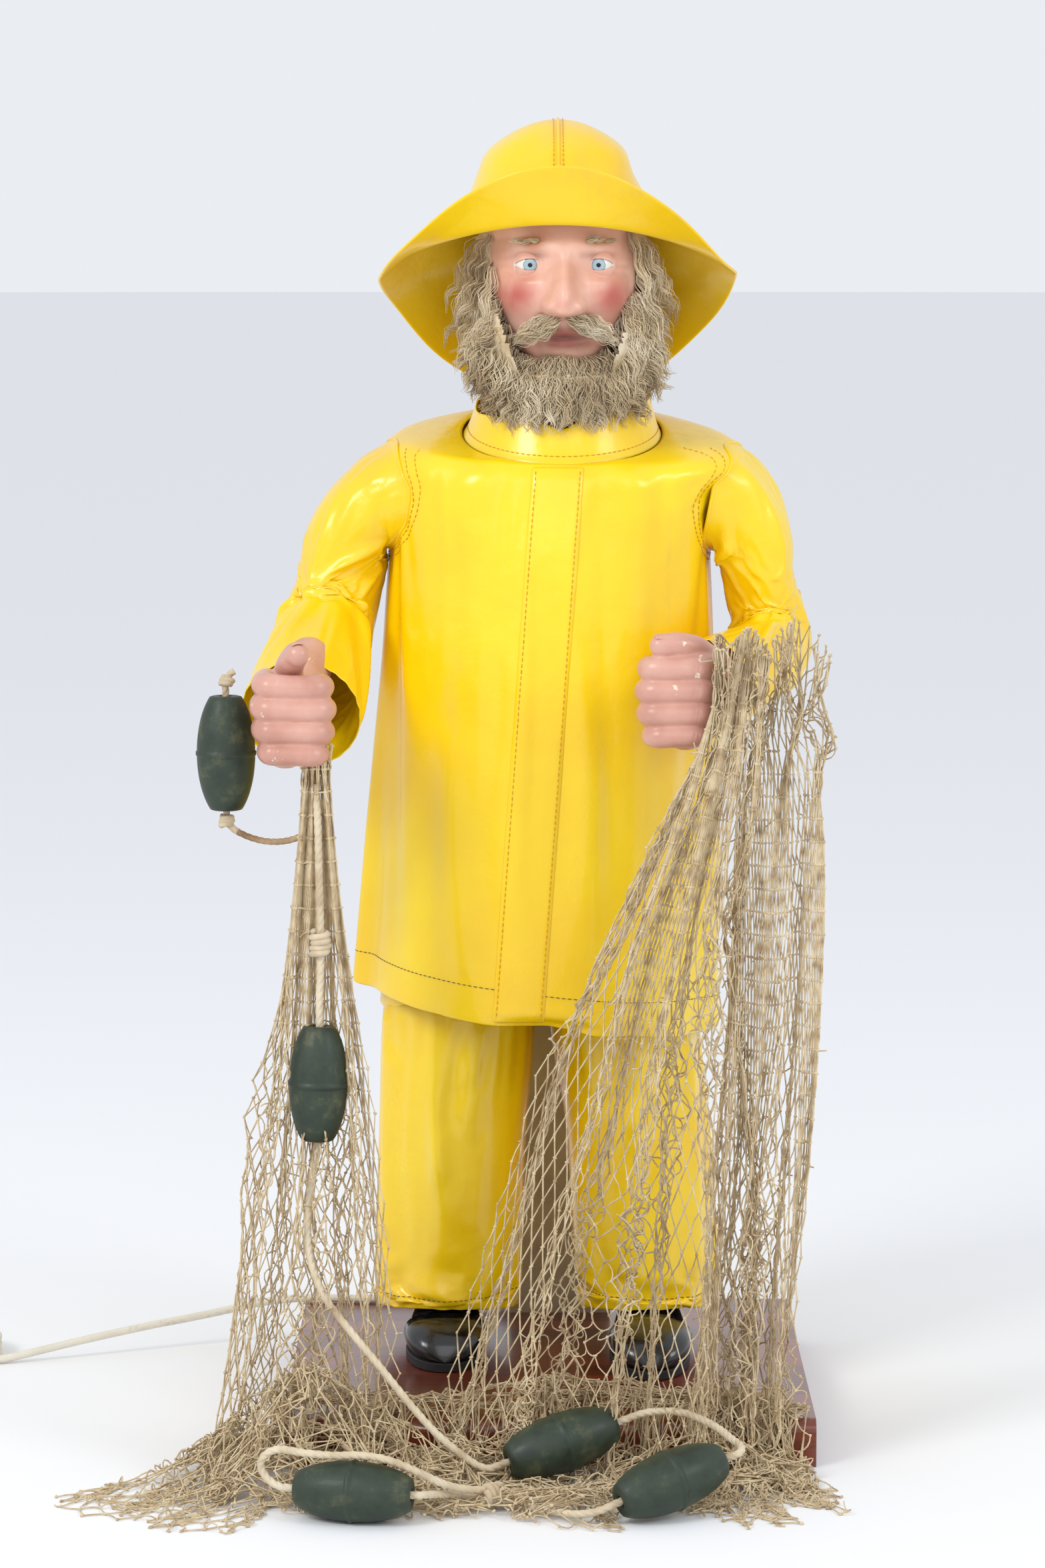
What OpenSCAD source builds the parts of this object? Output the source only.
// Shop-window fisherman: a motor-driven display figure in oilskins, hauling a net.
// Millimetres. +Z is up, the figure faces -Y, and the origin is the centre of the plinth's underside.
// "Right" and "left" are the figure's own: its right hand is on the -X side.

/* [Plinth and post] */
// Width of the plinth
plinth_w = 438; // [420:1:460]
// Depth of the plinth
plinth_d = 440; // [430:1:460]
// Thickness of the laminated board
plinth_t = 39; // [38:1:40]
// Radius of the rounded front edge
plinth_round = 10; // [4:1:15]
// Width of the grey post behind the legs
post_w = 90; // [70:1:110]
// Thickness of the post
post_d = 30; // [24:1:34]

/* [Figure] */
// Height of the top of the hat
hat_top = 1100; // [1096:1:1106]
// Half the face-to-face width of the head
head_rx = 68; // [62:1:70]
// Half the depth of the head
head_ry = 88; // [82:1:90]
// Half the height of the head, crown to chin
head_rz = 106; // [100:1:107]
// Thickness of the moulded head and hat walls
shell_t = 4; // [3:0.5:5]
// Thickness of the oilskin cloth with its lining
cloth_t = 3; // [2:0.5:3.5]
// Width of the button placket
placket_w = 44; // [36:1:50]

/* [Mechanism] */
// Height of the shoulder axis
shoulder_z = 785; // [782:1:788]
// Distance of the shoulder axis in front of the plinth's centre line, negative towards the front
shoulder_y = 30; // [28:1:32]
// Length of the lever on each arm shaft
lever_l = 45; // [43:1:47]
// Throw of the two cranks
crank_r = 6.3; // [5:0.1:7]
// Diameter of the arm shafts
arm_shaft_d = 10; // [8:1:10]
// Diameter of the crank and lever pins
pin_d = 4; // [3:0.5:5]
// Radial clearance of the running fits
run_gap = 0.05; // [0.02:0.01:0.08]

/* [Net, rope and cable] */
// Diameter of the rope
rope_d = 6.5; // [5:0.5:7]
// Length of a net float
float_l = 94; // [88:1:98]
// Largest diameter of a net float
float_d = 48; // [44:1:50]
// Diameter of the hole through a float
float_bore = 9; // [8:0.5:11]
// Diameter of the mains lead
cable_d = 7; // [6:0.5:7]

/* [Hidden] */

$fn = 48;
eps = 0.01;
wood = "#7a3f28";
ply = "#c9a878";
grey = "#6b655c";
steel = "#9a9c9e";
brass = "#b8963e";
oilskin = "#f2c800";
skin_tone = "#c98f78";
hair = "#a89880";
twine = "#cfc0a0";
float_green = "#2f3a2c";
flex_white = "#ded8c8";
boot_black = "#17171a";

mid_x = 8;                                   // middle plane of the mechanism
crank_y = shoulder_y + lever_l;              // crank shaft stands below the lever pins
crank_z = shoulder_z - 145;
post_front = 165;
post_top = 545;
spine_t = 18;
spine_w = 90;
spine_front = post_front - spine_t;
yoke_z = 730;                                // underside of the yoke board
yoke_t = 15;
hip_z = 430;
hip_t = 18;
neck_x = 12;
neck_y = 30;
head_z = hat_top - 18 - head_rz;             // middle of the head
head_at = [13, 28, head_z];
leg_x = 88;                                  // the leg poles stand this far each side of the middle
leg_y = 50;
pole_d = 30;
screw_d = 8;                                 // screws up through the plinth into the leg poles
sole_t = 8;
crown_r = [80, 103, 100];                    // half sizes of the hat crown
crown_at = [8, 25, hat_top - crown_r[2]];
brim_z = 1017;                               // where the brim is sewn to the crown

// Elbow and wrist of each arm's steel rod, and the end of its shaft
arm_r = [[-156, shoulder_y, shoulder_z], [-190, 44, 692], [-206, -160, 622]];
arm_l = [[172, shoulder_y, shoulder_z], [199, 46, 676], [110, -158, 634]];

// Ends of the axis of each float that lies in the net or on the floor
axis_in_net = [[-187, -207, 364], [-189, -209, 270]];
axis_centre = [[-35, -285, 21], [55, -257, 47]];
axis_near_right = [[135, -351, 41], [55, -393, 19]];
axis_near_left = [[-108, -392, 24], [-201, -372, 24]];

// Route of the rope: down from the right fist, through the floats, ending in a knot
rope_route = [
  [-190, -192, 560], [-188, -197, 530], [-187, -201, 490], [-186, -204, 450], [-186, -206, 410],
  [-187, -207, 385], [-187, -207, 364], [-188, -208, 317], [-189, -209, 270], [-192, -212, 248],
  [-196, -220, 215], [-195, -232, 180], [-182, -245, 148], [-160, -256, 121], [-138, -264, 96],
  [-114, -273, 68], [-92, -281, 45], [-70, -288, 28], [-52, -290, 18], [-35, -285, 21],
  [10, -271, 34], [55, -257, 47], [75, -252, 53], [92, -255, 56], [108, -264, 57], [123, -279, 55],
  [136, -297, 52], [145, -316, 49], [152, -333, 47], [149, -345, 44.5], [135, -351, 41],
  [95, -372, 30], [55, -393, 19], [38, -398, 13], [20, -390, 8], [0, -372, 6], [-20, -356, 5],
  [-40, -346, 6], [-58, -347, 9], [-74, -356, 14], [-88, -372, 19], [-98, -386, 22.5],
  [-108, -392, 24], [-154, -382, 24], [-201, -372, 24], [-214, -369, 25], [-224, -367, 32],
  [-228, -367, 42], [-223, -369, 51], [-212, -373, 55.5], [-192, -379, 54], [-170, -382, 53],
  [-148, -384, 53.5], [-126, -386, 50], [-103, -385, 40], [-84, -374, 28], [-66, -361, 20], [-50, -352, 17]];

// Route of the lead: out of the gland, along the plinth, over its edge and down to the floor
cable_route = [
  [-66.6, 200, 52], [-82, 200, 49], [-100, 201, 45.5], [-118, 202, 43.3], [-140, 203, 42.8],
  [-170, 204, 42.8], [-200, 205, 43], [-222, 205, 43], [-244, 204, 41.5], [-264, 203, 38.5],
  [-290, 199, 33.5], [-320, 190, 29], [-354, 178, 25], [-388, 165, 20.5], [-422, 152, 15.5],
  [-456, 141, 9.5], [-485, 132, 4.8], [-497, 128.5, 3.9]];
coil_at = [-537, 160];                       // middle of the coiled rest of the lead
coil_in = 31.5;
coil_out = 46.5;
coil_h = 21.2;
tail_route = [[-563, 117, 16.5], [-575, 117, 14.5], [-590, 117.5, 13.5], [-603, 118, 15.5], [-615, 118, 18.5]];
plug_at = [-617, 118, 19];

// ---------------------------------------------------------------- helpers

function unit(v) = v / norm(v);
function mix(a, b, t) = a + (b - a) * t;
function power(v, p) = sign(v) * pow(abs(v), p);

// A level ring: centre, half widths, and a tilt that lifts it along +X and +Y
function ring(z, cx, cy, rx, ry, tilt_x = 0, tilt_y = 0, square = 1, n = 40) = [
  for (i = [0 : n - 1])
    let (x = rx * power(cos(360 * i / n), square), y = ry * power(sin(360 * i / n), square))
      [cx + x, cy + y, z + tilt_x * x + tilt_y * y]];

// Skin over a list of rings; with loop the last ring joins the first, which makes a hollow tube
module skin_over(rings, loop = false) {
  n = len(rings[0]);
  m = len(rings);
  last = loop ? m - 1 : m - 2;
  sides = [
    for (k = [0 : last], i = [0 : n - 1])
      let (k2 = (k + 1) % m, j = (i + 1) % n) [k * n + i, k2 * n + i, k2 * n + j, k * n + j]];
  ends = loop ? [] : [[for (i = [0 : n - 1]) i], [for (i = [n - 1 : -1 : 0]) (m - 1) * n + i]];
  polyhedron(points = [for (r = rings, p = r) p], faces = concat(sides, ends), convexity = 8);
}

// Hollow garment tube from the same rings, smaller by the cloth's thickness inside
module cloth_tube(rows, square = 1, n = 40) {
  outer = [for (r = rows) ring(r[0], r[1], r[2], r[3], r[4], r[5], r[6], square, n)];
  inner = [for (i = [len(rows) - 1 : -1 : 0]) let (r = rows[i])
    ring(r[0], r[1], r[2], r[3] - cloth_t, r[4] - cloth_t, r[5], r[6], square, n)];
  skin_over(concat(outer, inner), loop = true);
}

// Smooth curve through hand-set points
function curve_at(a, b, c, d, t) =
  0.5 * (2 * b + (c - a) * t + (2 * a - 5 * b + 4 * c - d) * t * t + (3 * b - a - 3 * c + d) * t * t * t);
function curve(p, steps) = concat(
  [for (i = [0 : len(p) - 2], s = [0 : steps - 1])
    curve_at(p[max(i - 1, 0)], p[i], p[i + 1], p[min(i + 2, len(p) - 1)], s / steps)],
  [p[len(p) - 1]]);

// Round tube swept along a path, its rings carried on without twist
module cord(path, d, sides = 8) {
  m = len(path);
  dirs = [for (i = [0 : m - 1]) unit(path[min(i + 1, m - 1)] - path[max(i - 1, 0)])];
  first = abs(dirs[0][2]) < 0.9 ? cross(dirs[0], [0, 0, 1]) : cross(dirs[0], [0, 1, 0]);
  across = [
    for (i = 0, u = unit(first); i < m;
      i = i + 1, u = i < m ? unit(u - (u * dirs[i]) * dirs[i]) : u) u];
  rings = [for (i = [0 : m - 1]) let (u = across[i], v = cross(dirs[i], u))
    [for (k = [0 : sides - 1]) let (a = 360 * k / sides) path[i] + d / 2 * (cos(a) * u + sin(a) * v)]];
  skin_over([for (i = [m - 1 : -1 : 0]) rings[i]]);
}

// Turns the +Z axis of its children to run from one point towards another
module along(from, to) {
  d = to - from;
  translate(from) rotate([0, acos(d[2] / norm(d)), atan2(d[1], d[0])]) children();
}

module rod(from, to, d) {
  along(from, to) cylinder(h = norm(to - from), d = d);
}

// Egg-shaped float with flat ends and a hole right through
module net_float(from, to) {
  half = float_l / 2;
  bulge = [for (i = [0 : 12]) let (s = -1 + i / 6) [float_d / 2 * sqrt(1 - 0.72 * s * s), half + half * s]];
  color(float_green) translate((from + to) / 2) along([0, 0, 0], to - from) translate([0, 0, -half])
    difference() {
      rotate_extrude() polygon(concat([[0, 0]], bulge, [[0, float_l]]));
      translate([0, 0, -1]) cylinder(h = float_l + 2, d = float_bore);
    }
}

// ---------------------------------------------------------------- plinth, post and inner frame

module plinth() {
  color(wood) difference() {
    translate([0, 0, 0]) rotate([90, 0, 90]) translate([0, 0, -plinth_w / 2]) linear_extrude(plinth_w)
      union() {
        translate([-plinth_d / 2 + plinth_round, 0]) square([plinth_d - plinth_round, plinth_t]);
        translate([-plinth_d / 2, 0]) square([plinth_d / 2, plinth_t - plinth_round]);
        translate([-plinth_d / 2 + plinth_round, plinth_t - plinth_round]) circle(plinth_round);
      }
    for (x = [-leg_x, leg_x]) translate([x, leg_y, -1]) cylinder(h = plinth_t + 2, d = screw_d);
  }
}

module post() {
  color(grey) translate([neck_x - post_w / 2, post_front, plinth_t + eps])
    cube([post_w, post_d, post_top - plinth_t]);
}

// Countersunk screws that hold the spine board to the post, and long ones up through the plinth
module frame_screws() {
  color(steel) {
    for (x = [-25, 25], z = [450, 490, 530]) translate([neck_x + x, spine_front - 2.5, z])
      rotate([-90, 0, 0]) cylinder(h = 2.5 - eps, d1 = 5, d2 = 9);
    for (x = [-leg_x, leg_x]) translate([x, leg_y, 1]) cylinder(h = 88, d = screw_d);
  }
}

module spine_board() {
  color(ply) translate([neck_x - spine_w / 2, spine_front, hip_z])
    cube([spine_w, spine_t - eps, yoke_z - hip_z]);
}

module yoke_board() {
  color(ply) difference() {
    union() {
      translate([mid_x - 112, 0, yoke_z + eps]) cube([224, 100, yoke_t]);
      translate([neck_x - spine_w / 2, 50, yoke_z + eps]) cube([spine_w, post_front - 50 - eps, yoke_t]);
      for (x = [mid_x - 112, mid_x + 100]) translate([x, 5, yoke_z + yoke_t]) cube([12, 50, 67]);
    }
    for (x = [mid_x - 70, mid_x + 50]) translate([x, 50, yoke_z - 1]) cube([20, 50, yoke_t + 2]);
    translate([mid_x - 130, shoulder_y, shoulder_z]) rotate([0, 90, 0]) cylinder(h = 260, d = 16);
    translate([neck_x, neck_y, yoke_z - 1]) cylinder(h = yoke_t + 2, d = 26);
  }
}

module hip_board() {
  color(ply) difference() {
    union() {
      translate([-115, 15, hip_z - hip_t - eps]) cube([230, 85, hip_t]);
      translate([neck_x - spine_w / 2, 50, hip_z - hip_t - eps]) cube([spine_w, post_front - 50 - eps, hip_t]);
    }
    for (x = [-leg_x, leg_x]) translate([x, leg_y, hip_z - hip_t - 1]) cylinder(h = hip_t + 2, d = pole_d);
  }
}

module leg_pole(side) {
  color(ply) difference() {
    translate([side * leg_x, leg_y, plinth_t + eps]) cylinder(h = hip_z - plinth_t - 2 * eps, d = pole_d);
    translate([side * leg_x, leg_y, plinth_t - 1]) cylinder(h = 60, d = screw_d);
  }
}

// ---------------------------------------------------------------- boots

function toe_y(side) = side < 0 ? -26 : -54;

module sole_outline(side) {
  hull() {
    translate([side * leg_x, toe_y(side)]) circle(36);
    translate([side * leg_x, leg_y + 42]) circle(30);
  }
}

module boot_sole(side) {
  color(boot_black) translate([0, 0, plinth_t + eps]) linear_extrude(sole_t) difference() {
    sole_outline(side);
    translate([side * leg_x, leg_y]) circle(d = pole_d + 1);
  }
}

module boot(side) {
  x = side * leg_x;
  low = plinth_t + sole_t + 2 * eps;
  color(boot_black) difference() {
    union() {
      hull() {
        translate([x, toe_y(side) + 2, low]) cylinder(h = 14, r = 35, $fn = 32);
        translate([x, toe_y(side) + 8, low + 8]) intersection() {
          sphere(24, $fn = 32);
          translate([-40, -40, -8]) cube(80);
        }
        translate([x, leg_y + 40, low]) cylinder(h = 36, r = 28, $fn = 32);
        translate([x, leg_y - 12, low]) cylinder(h = 38, r = 32, $fn = 32);
      }
      translate([x, leg_y + 8, low + 26]) cylinder(h = 89, r1 = 44, r2 = 46);
    }
    translate([x, leg_y, 0]) cylinder(h = 300, d = pole_d + 1);
  }
}

// ---------------------------------------------------------------- oilskins

module trouser(side) {
  top = side < 0 ? [340, -77, 56, 70, 92, 0, 0] : [340, 65, 56, 67, 92, 0, 0];
  color(oilskin) cloth_tube([
    [73, side * 88, 52, 61, 74, side * 0.02, -0.16],
    [86, side * 88, 52, 63, 77, side * 0.02, -0.14],
    [110, side * 88, 50, 61, 73, 0, -0.05],
    [180, side * 88, 50, 62, 76, 0, 0],
    [255, side * 86, 52, 63, 84, 0, 0],
    top], n = 32);
}

module trouser_seat() {
  color(oilskin) cloth_tube([
    [340.3, -9, 56, 134, 92, 0, 0],
    [380, -9, 58, 133, 100, 0, 0],
    [405, -9, 60, 130, 104, 0, 0]], square = 0.9);
}

jacket_rows = [
  [355, -10, 59, 150, 169, -0.13, 0],
  [372, -10, 58, 149, 166, -0.10, 0],
  [450, -8, 57, 146, 161, -0.04, 0],
  [540, -4, 56, 141, 158, 0, 0],
  [600, -1, 51, 137, 146, 0, 0],
  [680, 0, 48, 136, 138, 0, 0],
  [742, 1, 50, 137, 137, 0, 0],
  [785, 4, 46, 143, 120, 0, 0],
  [815, 8, 38, 148, 92, 0, 0],
  [832, 10, 33, 138, 74, 0, 0.02],
  [845, 11, 28, 108, 72, 0, 0.04],
  [851, 12, 27, 84, 73, 0, 0.06]];

module jacket_body() {
  color(oilskin) difference() {
    cloth_tube(jacket_rows, square = 0.92, n = 44);
    translate([-340, -200, 548]) cube([200, 500, 400]);
    translate([144.5, -200, 548]) cube([200, 500, 400]);
    translate([0, shoulder_y, shoulder_z]) rotate([0, 90, 0])
      cylinder(h = 400, d = arm_shaft_d + 16, center = true);
    placket_cut(1.5);
  }
}

// Slanting strip down the front, wide enough to cut the jacket a little open around it
module placket_strip(grow) {
  hull() {
    translate([8 - placket_w / 2 - grow, -160, 810]) cube([placket_w + 2 * grow, 130, 1]);
    translate([-25 - placket_w / 2 - grow, -160, 345]) cube([placket_w + 2 * grow, 130, 1]);
  }
}

// The placket is a band of cloth laid on the outside of the jacket's front
module placket_cut(grow) {
  intersection() {
    placket_strip(grow);
    front_band(0.3, -cloth_t * 0.5);
  }
}

module front_band(out, inn) {
  rows = [for (i = [0 : 8]) jacket_rows[i]];
  difference() {
    skin_over([for (r = rows) ring(r[0], r[1], r[2], r[3] + out, r[4] + out, r[5], r[6], 0.92, 44)]);
    skin_over([for (r = rows) ring(r[0] + (r[0] < 360 ? -5 : r[0] > 810 ? 5 : 0),
      r[1], r[2], r[3] + inn, r[4] + inn, r[5], r[6], 0.92, 44)]);
  }
}

module jacket_placket() {
  color("#e6bb00") intersection() {
    placket_strip(0);
    translate([-400, -400, 352]) cube([800, 400, 455]);
    front_band(1.2, -cloth_t * 0.5 + 0.2);
  }
}

module jacket_collar() {
  color(oilskin) cloth_tube([
    [851.5, 12, 27, 84, 73, 0, 0.06],
    [860, 12, 26, 77, 74, 0, 0.12],
    [868, 12, 24, 73, 72, 0, 0.16]], n = 44);
}

// Chain of round sections that makes a bent sleeve, hollow and open at both ends
module sleeve_body(points, radii, grow) {
  for (k = [0, 2]) hull() for (i = [k : k + 2])
    translate(points[i]) sphere(radii[i] + grow, $fn = 28);
}

module sleeve(points, radii, shoulder_x, cuff_y) {
  side = sign(shoulder_x);
  color(oilskin) difference() {
    sleeve_body(points, radii, 0);
    sleeve_body(points, radii, -cloth_t);
    translate([shoulder_x - 200 * (side > 0 ? 1 : 0), -200, 500]) cube([200, 500, 500]);
    translate([-400, cuff_y - 200, 400]) cube([800, 200, 400]);
  }
}

sleeve_r_points = [[-150, 28, 786], [-172, 38, 742], [-191, 40, 692], [-201, -30, 652], [-206, -105, 612]];
sleeve_r_radii = [49, 46, 42, 42, 43];
sleeve_l_points = [[160, 28, 780], [176, 38, 735], [196, 40, 672], [182, -15, 650], [128, -120, 634]];
sleeve_l_radii = [47, 44, 38, 36, 35];

module sleeve_right() { sleeve(sleeve_r_points, sleeve_r_radii, -141.5, -98); }
module sleeve_left() { sleeve(sleeve_l_points, sleeve_l_radii, 146, -112); }

// ---------------------------------------------------------------- drive

module gearbox() {
  color(steel) difference() {
    translate([mid_x - 30, crank_y - 25, crank_z - 40]) cube([60, 50, 80]);
    translate([mid_x - 40, crank_y, crank_z]) rotate([0, 90, 0]) cylinder(h = 80, r = 3 + run_gap);
  }
}

module motor_can() {
  color("#3a3d40") translate([mid_x, crank_y, crank_z - 40 - 62 - eps]) {
    cylinder(h = 62, d = 46);
    translate([0, 0, -8]) cylinder(h = 8, d = 16);
  }
}

module gearbox_bracket() {
  color(steel) difference() {
    translate([mid_x - 34, crank_y + 25 + eps, crank_z - 45])
      cube([68, spine_front - crank_y - 25 - 2 * eps, 90]);
    translate([mid_x - 31, crank_y + 29, crank_z - 46]) cube([62, spine_front - crank_y - 33, 92]);
  }
}

module shoulder_bush(side) {
  color(brass) translate([mid_x + side * 106, shoulder_y, shoulder_z]) rotate([0, 90, 0]) difference() {
    translate([0, 0, -8]) cylinder(h = 16, d = 16);
    translate([0, 0, -9]) cylinder(h = 18, d = arm_shaft_d + 2 * run_gap);
  }
}

module neck_tube() {
  color(brass) translate([neck_x, neck_y, yoke_z]) difference() {
    cylinder(h = 100, d = 26);
    translate([0, 0, -1]) cylinder(h = 102, d = 12 + 2 * run_gap);
  }
}

module crank_shaft() {
  color(steel) translate([mid_x - 57, crank_y, crank_z]) rotate([0, 90, 0]) cylinder(h = 114, d = 6);
}

// Disc on the end of the motor's shaft; its pin carries the foot of the con rod
module crank_disc(side) {
  color(brass) translate([mid_x, crank_y, crank_z]) mirror([side < 0 ? 1 : 0, 0, 0]) rotate([0, 90, 0]) {
    translate([0, 0, 50]) difference() {
      cylinder(h = 6, d = 26);
      translate([0, 0, -1]) cylinder(h = 8, d = 6);
    }
    translate([0, side * crank_r, 56 - eps]) cylinder(h = 7, d = pin_d);
  }
}

// Flat rod from the crank pin up to the lever pin
module con_rod(side) {
  foot = [0, side * crank_r, crank_z];
  top = [0, 0, shoulder_z];
  color(steel) translate([mid_x + side * 60, crank_y, 0]) difference() {
    union() {
      for (p = [foot, top]) translate(p) rotate([0, 90, 0]) cylinder(h = 4, r = 7, center = true);
      along(foot, top) translate([-4, -1.7, 0]) cube([8, 3.4, norm(top - foot)]);
    }
    translate(foot) rotate([0, 90, 0]) cylinder(h = 6, r = pin_d / 2 + run_gap, center = true);
    translate(top) rotate([0, 90, 0]) cylinder(h = 6, r = pin_d / 2 + run_gap, center = true);
  }
}

module arm_shaft(side, end_x) {
  inner_x = mid_x + side * 66;
  color(steel) rod([inner_x, shoulder_y, shoulder_z], [end_x, shoulder_y, shoulder_z], arm_shaft_d);
}

// Lever clamped on the arm shaft; its pin stops just short of the con rod's upper eye
module arm_lever(side) {
  color(brass) translate([mid_x + side * 69.5, 0, shoulder_z]) difference() {
    union() {
      rotate([0, 90, 0]) translate([0, shoulder_y, 0]) cylinder(h = 6, r = 10, center = true);
      rotate([0, 90, 0]) translate([0, crank_y, 0]) cylinder(h = 6, r = 6, center = true);
      translate([-3, shoulder_y, -5]) cube([6, lever_l, 10]);
      translate([-side * 5, crank_y, 0]) rotate([0, 90, 0]) cylinder(h = 4, d = pin_d, center = true);
    }
    rotate([0, 90, 0]) translate([0, shoulder_y, 0]) cylinder(h = 8, d = arm_shaft_d, center = true);
  }
}

module arm_rod(p) {
  color(steel) {
    translate(p[0] - [sign(p[0][0]) * 0.01, 0, 0]) rotate([0, sign(p[0][0]) * 90, 0]) cylinder(h = 14, d = 24);
    rod(p[0] + [sign(p[0][0]) * 7, 0, 0], p[1], 12);
    translate(p[1]) sphere(d = 13);
    rod(p[1], p[2], 12);
  }
}

// ---------------------------------------------------------------- hands

// Closed hand: four curled fingers in a stack, seen from their middle joints, and a thumb over the top
module fist(side, at, wide, thumb_from, thumb_to, p) {
  color(skin_tone) difference() {
    union() {
      hull() for (x = [-1, 1], z = [-24, 16])
        translate(at + [x * (wide / 2 - 17), 10, z]) sphere(19, $fn = 20);
      for (k = [0 : 3]) {
        z = -28 + 18.5 * k;
        out = wide / 2 - 12 - (k == 0 ? 3 : 0);
        translate(at + [0, -14, z]) {
          translate([-out, 0, 0]) rotate([0, 90, 0]) cylinder(h = 2 * out, r = 10.5, $fn = 20);
          for (x = [-out, out]) translate([x, 0, 0]) sphere(10.4, $fn = 20);
        }
      }
      rod(at + thumb_from, at + thumb_to, 21);
      translate(at + thumb_to) sphere(10.4, $fn = 20);
      translate(at + thumb_from) sphere(10.4, $fn = 20);
      along(p[1], p[2]) translate([0, 0, norm(p[2] - p[1]) - 42]) cylinder(h = 40, d = 40);
    }
    along(p[1], p[2]) translate([0, 0, norm(p[2] - p[1]) - 60]) cylinder(h = 60 + eps, d = 12);
  }
}

module fist_right() { fist(-1, [-207, -188, 613], 68, [-6, 16, 38], [4, -18, 52], arm_r); }
module fist_left() { fist(1, [103, -188, 628], 67, [21, 9, 41], [-14, -11, 45], arm_l); }

// ---------------------------------------------------------------- head and hat

module head_solid(grow) {
  translate(head_at) scale([head_rx + grow, head_ry + grow, head_rz + grow] / 100) sphere(100, $fn = 40);
  translate([neck_x, neck_y + 6, 838]) cylinder(h = 90, r = 46 + grow);
}

module neck_spindle() {
  color(steel) {
    translate([neck_x, neck_y, yoke_z - 12]) cylinder(h = 222, d = 12);
    translate([neck_x, neck_y, yoke_z + 100 + 0.3]) cylinder(h = 8, d = 38);
  }
}

module head_shell() {
  color(skin_tone) difference() {
    union() {
      head_solid(0);
      translate(head_at + [0, -head_ry + 2, -16]) scale([0.7, 1, 1.2]) sphere(16, $fn = 24);
    }
    translate([0, 0, -0.01]) head_solid(-shell_t);
    translate([neck_x, neck_y, 830]) cylinder(h = 20, r = 42);
  }
}

// Level slices of an egg with the given middle and half sizes
function egg_rings(at, r, z_list) = [for (z = z_list)
  let (k = sqrt(1 - pow((z - at[2]) / r[2], 2))) ring(z, at[0], at[1], r[0] * k, r[1] * k, n = 32)];

module wig() {
  hair_z = [888, 914, 942, 970, 1000];
  color(hair) difference() {
    skin_over(egg_rings(head_at + [0, 10, -8], [87, 91, 91], hair_z));
    skin_over(egg_rings(head_at, [head_rx + 3, head_ry + 3, head_rz + 3],
      [for (z = [870 : 10 : 1020]) z]));
    translate([neck_x, neck_y + 6, 838]) cylinder(h = 90, r = 47);
    translate([-200, -210, 800]) cube([400, 200, 400]);
  }
}

module beard() {
  color(hair) difference() {
    translate([12, -24, 922]) scale([0.93, 0.80, 0.86]) sphere(78, $fn = 40);
    head_solid(0.4);
    translate([-200, -10.4, 800]) cube([400, 230, 400]);
    translate([-200, -240, 940]) cube([400, 300, 400]);
  }
}

module hat_crown() {
  color(oilskin) difference() {
    translate(crown_at) scale(crown_r / 100) sphere(100, $fn = 48);
    translate(crown_at) scale([for (r = crown_r) r - cloth_t] / 100) sphere(100, $fn = 48);
    translate([-200, -200, 800]) cube([400, 400, brim_z - 800]);
  }
}

// Rim of the brim at angle a: turned up in front, out at the sides, long and low behind
function rim_up(a) = pow(max(0, -sin(a)), 1.6);
function rim_back(a) = pow(max(0, sin(a)), 1.3);
function brim_profile(a) =
  let (root = norm([crown_r[0] * cos(a), crown_r[1] * sin(a)]) - 2,
    side = 153 * cos(a) * cos(a) + 137 * sin(a) * sin(a),
    fold = mix(root + 6, mix(125, 128, rim_back(a)), 1 - rim_up(a)),
    out = rim_up(a) * (132 - side) + side,
    z_fold = 1014 - 24 * (1 - rim_up(a)) - 44 * rim_back(a),
    z_out = 968 + 92 * rim_up(a) - 108 * rim_back(a))
    [[root, brim_z - 0.5], [mix(root, fold, 0.5), mix(1016, z_fold, 0.45)], [fold, z_fold],
     [mix(fold, out, 0.5), mix(z_fold, z_out, 0.48)], [out, z_out]];
function brim_point(a, rz) = [crown_at[0] + rz[0] * cos(a), crown_at[1] + rz[0] * sin(a), rz[1]];
function profile_normal(p, k) =
  let (t = unit(p[min(k + 1, len(p) - 1)] - p[max(k - 1, 0)])) [t[1], -t[0]];

module hat_brim() {
  n = 48;
  top = [for (k = [0 : 4]) [for (i = [0 : n - 1]) let (a = 360 * i / n, p = brim_profile(a))
    brim_point(a, p[k])]];
  under = [for (k = [4 : -1 : 0]) [for (i = [0 : n - 1]) let (a = 360 * i / n, p = brim_profile(a))
    brim_point(a, p[k] + cloth_t * profile_normal(p, k))]];
  color(oilskin) skin_over(concat(under, top), loop = true);
}

// ---------------------------------------------------------------- net, rope and floats

module slab(x1, x2, y1, y2, z) {
  translate([x1, y1, z]) cube([x2 - x1, y2 - y1, 1]);
}

module net_curtain_right() {
  color(twine) {
    hull() {
      slab(-212, -168, -184, -168, 556);
      slab(-245, -125, -180, -164, 262);
    }
    hull() {
      slab(-245, -125, -180, -164, 261);
      slab(-282, -125, -250, -228, 78);
    }
  }
}

module net_curtain_left() {
  color(twine) {
    hull() {
      slab(60, 232, -216, -192, 570);
      slab(-5, 215, -222, -200, 350);
    }
    hull() {
      slab(-5, 215, -222, -200, 349);
      slab(-60, 200, -256, -236, 80);
    }
  }
}

module net_hank() {
  color(twine) hull() {
    slab(142, 200, -214, -178, 668);
    slab(144, 236, -210, -176, 600);
    slab(144, 236, -206, -180, 582);
  }
}

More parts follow.
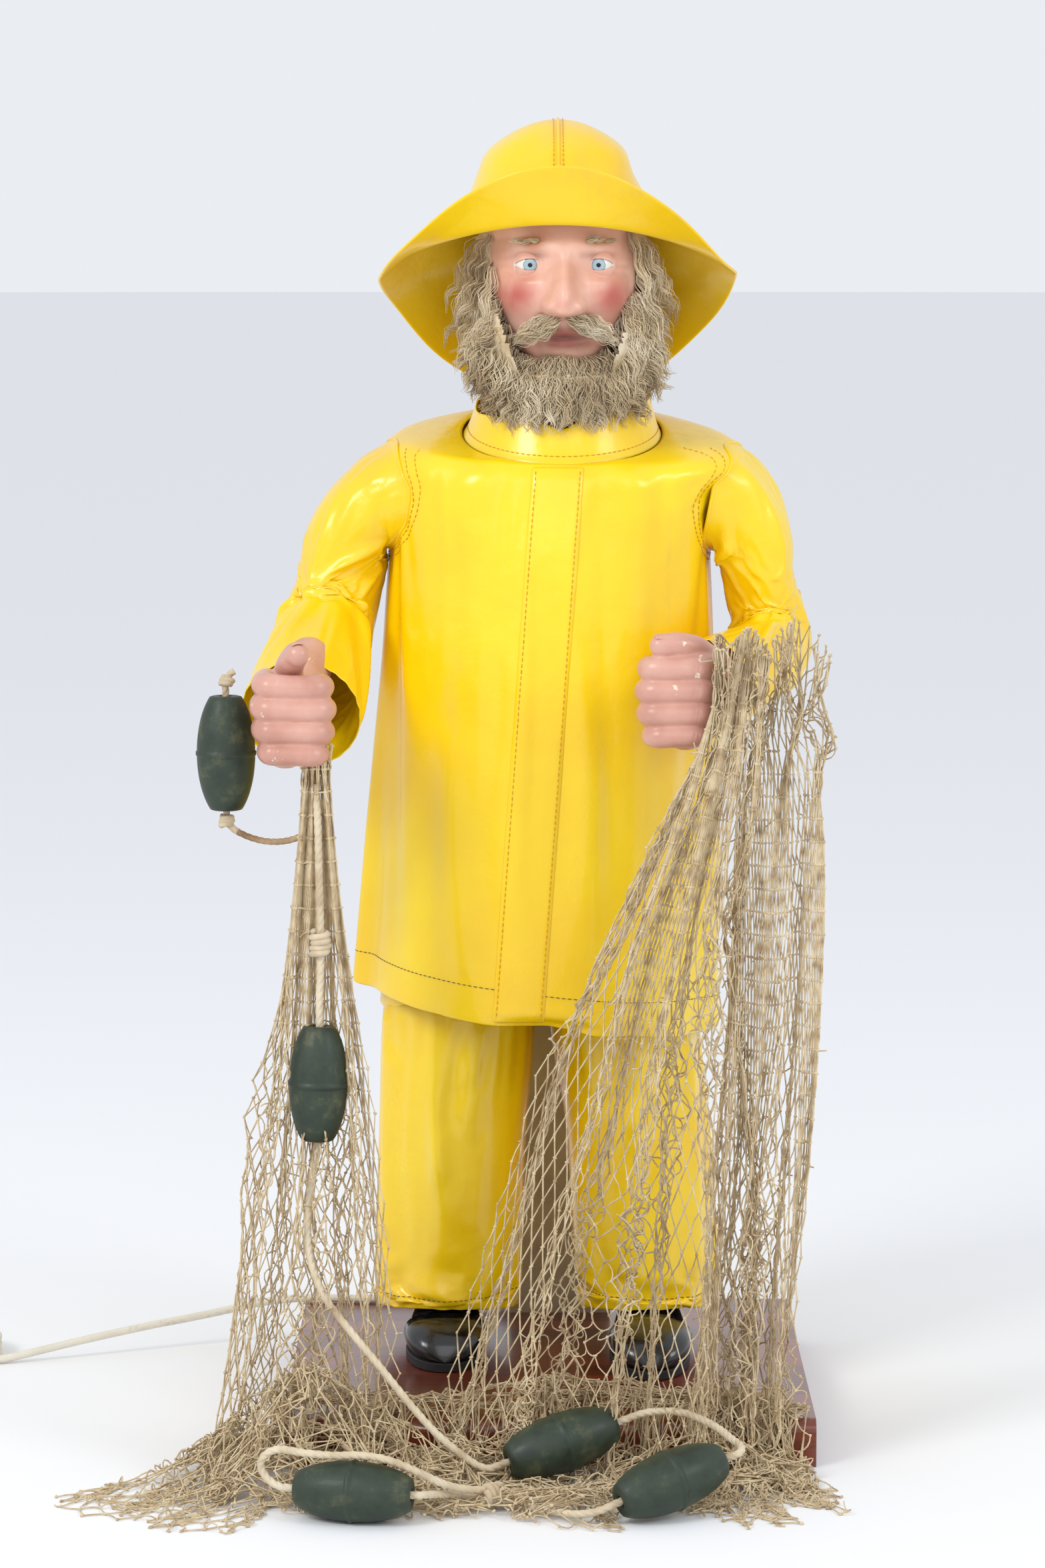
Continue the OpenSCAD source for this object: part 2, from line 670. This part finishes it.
module net_pile() {
  front = -plinth_d / 2 - 1.5;
  color(twine) {
    hull() {
      slab(-286, -170, -350, front, 0);
      slab(-270, -176, -300, front - 6, 68);
    }
    hull() {
      slab(-168, -72, -340, front, 0);
      slab(-160, -84, -300, front - 6, 30);
    }
    hull() {
      slab(88, 198, -318, front, 0);
      slab(96, 190, -290, front - 6, 22);
    }
    hull() {
      slab(-170, 190, -210, -112, plinth_t + 0.5);
      slab(-150, 170, -196, -122, plinth_t + 16);
    }
  }
}

module rope_run() {
  color(twine) cord(curve(rope_route, 2), rope_d);
}

float_top = [-265, -149, 628];
module float_hanging() { net_float(float_top, float_top - [0, 0, float_l]); }
module float_tail() {
  color(twine) {
    translate(float_top - [0, 0, float_l + 9]) sphere(7);
    translate(float_top + [0, 0, 1]) cylinder(h = 14, d = rope_d);
    translate(float_top + [0, 0, 17]) rotate([0, 90, 0]) cylinder(h = 9, d = 9, center = true);
  }
}
module float_in_net() { net_float(axis_in_net[0], axis_in_net[1]); }
module float_centre() { net_float(axis_centre[0], axis_centre[1]); }
module float_near_right() { net_float(axis_near_right[0], axis_near_right[1]); }
module float_near_left() { net_float(axis_near_left[0], axis_near_left[1]); }

// ---------------------------------------------------------------- mains lead

module cable_gland() {
  side_x = neck_x - post_w / 2 - eps;
  color(boot_black) rod([side_x, 200, 52], [side_x - 8, 200, 52], 16);
  color(boot_black) translate([side_x - 8, 200, 52]) rotate([0, -90, 0])
    cylinder(h = 25, d1 = 12, d2 = 9);
}

module cable_run() {
  color(flex_white) cord(curve(cable_route, 2), cable_d);
  color(flex_white) cord(curve(tail_route, 2), cable_d);
}

module cable_coil() {
  color(flex_white) translate([coil_at[0], coil_at[1], 0]) rotate_extrude()
    translate([coil_in, 0]) square([coil_out - coil_in, coil_h]);
}

module cable_plug() {
  color(flex_white) translate(plug_at) rotate([0, -90, 0]) {
    translate([0, 0, eps]) cylinder(h = 22, d1 = 12, d2 = 26);
    translate([0, 0, 22]) cylinder(h = 24, d = 36);
    for (x = [-9.5, 9.5]) translate([x, 0, 46]) cylinder(h = 19, d = 4.8);
  }
}

// ---------------------------------------------------------------- drawing

plinth();
post();
frame_screws();
spine_board();
yoke_board();
hip_board();
leg_pole(-1);  // leg_pole_right
leg_pole(1);  // leg_pole_left
boot(-1);  // boot_right
boot(1);  // boot_left
boot_sole(-1);  // boot_sole_right
boot_sole(1);  // boot_sole_left
trouser(-1);  // trouser_right
trouser(1);  // trouser_left
trouser_seat();
jacket_body();
jacket_placket();
jacket_collar();
gearbox();
motor_can();
gearbox_bracket();
shoulder_bush(-1);  // shoulder_bush_right
shoulder_bush(1);  // shoulder_bush_left
neck_tube();
crank_shaft();
crank_disc(-1);  // crank_disc_right
crank_disc(1);  // crank_disc_left
con_rod(-1);  // con_rod_right
con_rod(1);  // con_rod_left
arm_shaft(-1, arm_r[0][0]);  // arm_shaft_right
arm_shaft(1, arm_l[0][0]);  // arm_shaft_left
arm_lever(-1);  // arm_lever_right
arm_lever(1);  // arm_lever_left
arm_rod(arm_r);  // arm_rod_right
arm_rod(arm_l);  // arm_rod_left
sleeve_right();
sleeve_left();
fist_right();
fist_left();
net_hank();
neck_spindle();
head_shell();
wig();
beard();
hat_crown();
hat_brim();
net_curtain_right();
net_curtain_left();
net_pile();
rope_run();
float_hanging();
float_tail();
float_in_net();
float_centre();
float_near_right();
float_near_left();
cable_gland();
cable_run();
cable_coil();
cable_plug();
